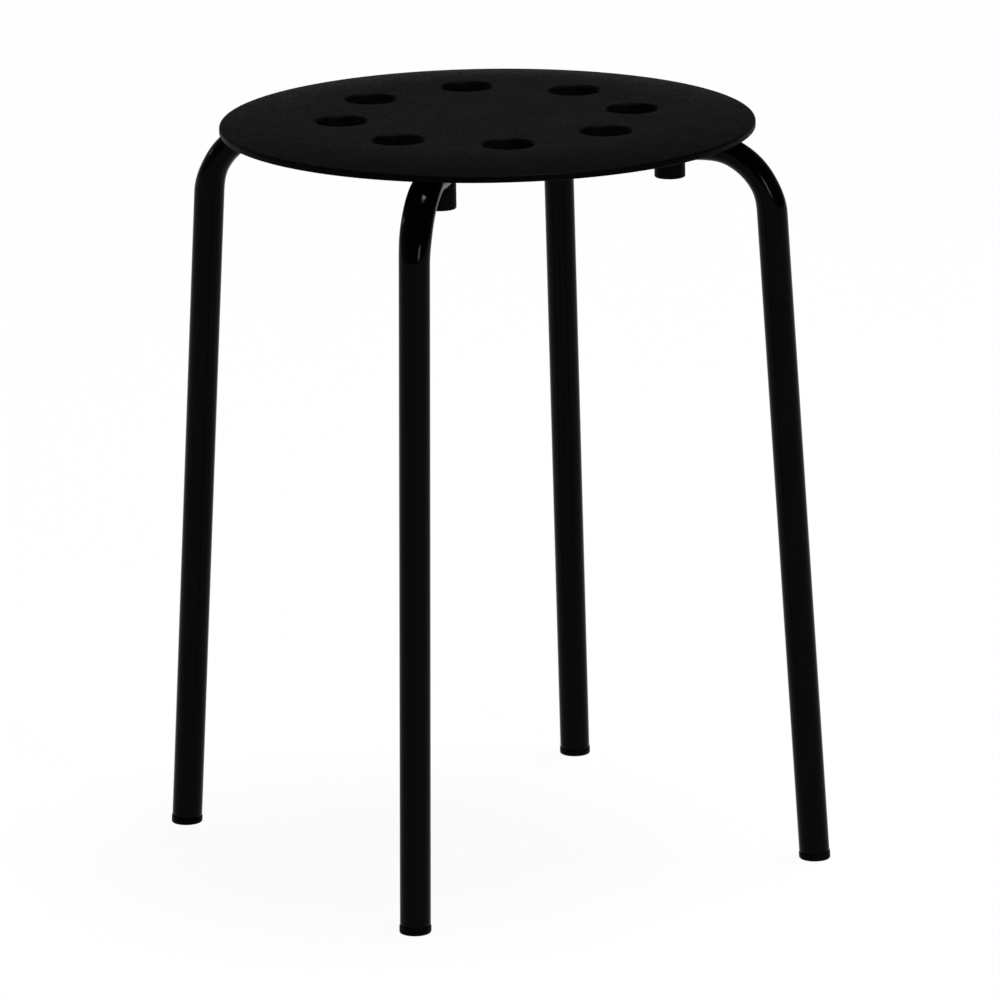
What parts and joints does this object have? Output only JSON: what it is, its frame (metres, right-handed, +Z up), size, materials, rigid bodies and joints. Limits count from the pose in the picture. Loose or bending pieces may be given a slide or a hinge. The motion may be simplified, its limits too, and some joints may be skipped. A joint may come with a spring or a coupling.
{
  "type": "stool",
  "caption": "Round stacking stool: thin moulded seat with a ring of finger holes on crossed bent-tube legs, with spacers under the tubes and plugs in the feet.",
  "frame": {"origin": "on the floor, on the upright axis of the stool, midway between the feet", "axes": "+Z up along the stool's axis; +X towards the right leg and +Y towards the back leg, so that each tube frame lies in the XZ or the YZ plane"},
  "size_m": [0.4132, 0.4132, 0.45],
  "materials": {
    "seat_plastic": "fine moulded grain, matte black",
    "black_powder_coat": "glossy black powder coat",
    "black_plastic": "satin black",
    "zinc_plate": "bright zinc plate",
    "brass": "plain turned brass"
  },
  "bodies": {
    "root": {"seat": "seat_plastic", "leg_frame_lower": "black_powder_coat", "leg_frame_upper": "black_powder_coat", "spacer_right": "black_plastic", "spacer_back": "black_plastic", "spacer_left": "black_plastic", "spacer_front": "black_plastic", "screw_right": "zinc_plate", "screw_back": "zinc_plate", "screw_left": "zinc_plate", "screw_front": "zinc_plate", "threaded_insert_right": "brass", "threaded_insert_back": "brass", "threaded_insert_left": "brass", "threaded_insert_front": "brass", "foot_cap_right": "black_plastic", "foot_cap_back": "black_plastic", "foot_cap_left": "black_plastic", "foot_cap_front": "black_plastic"}
  },
  "joints": []
}
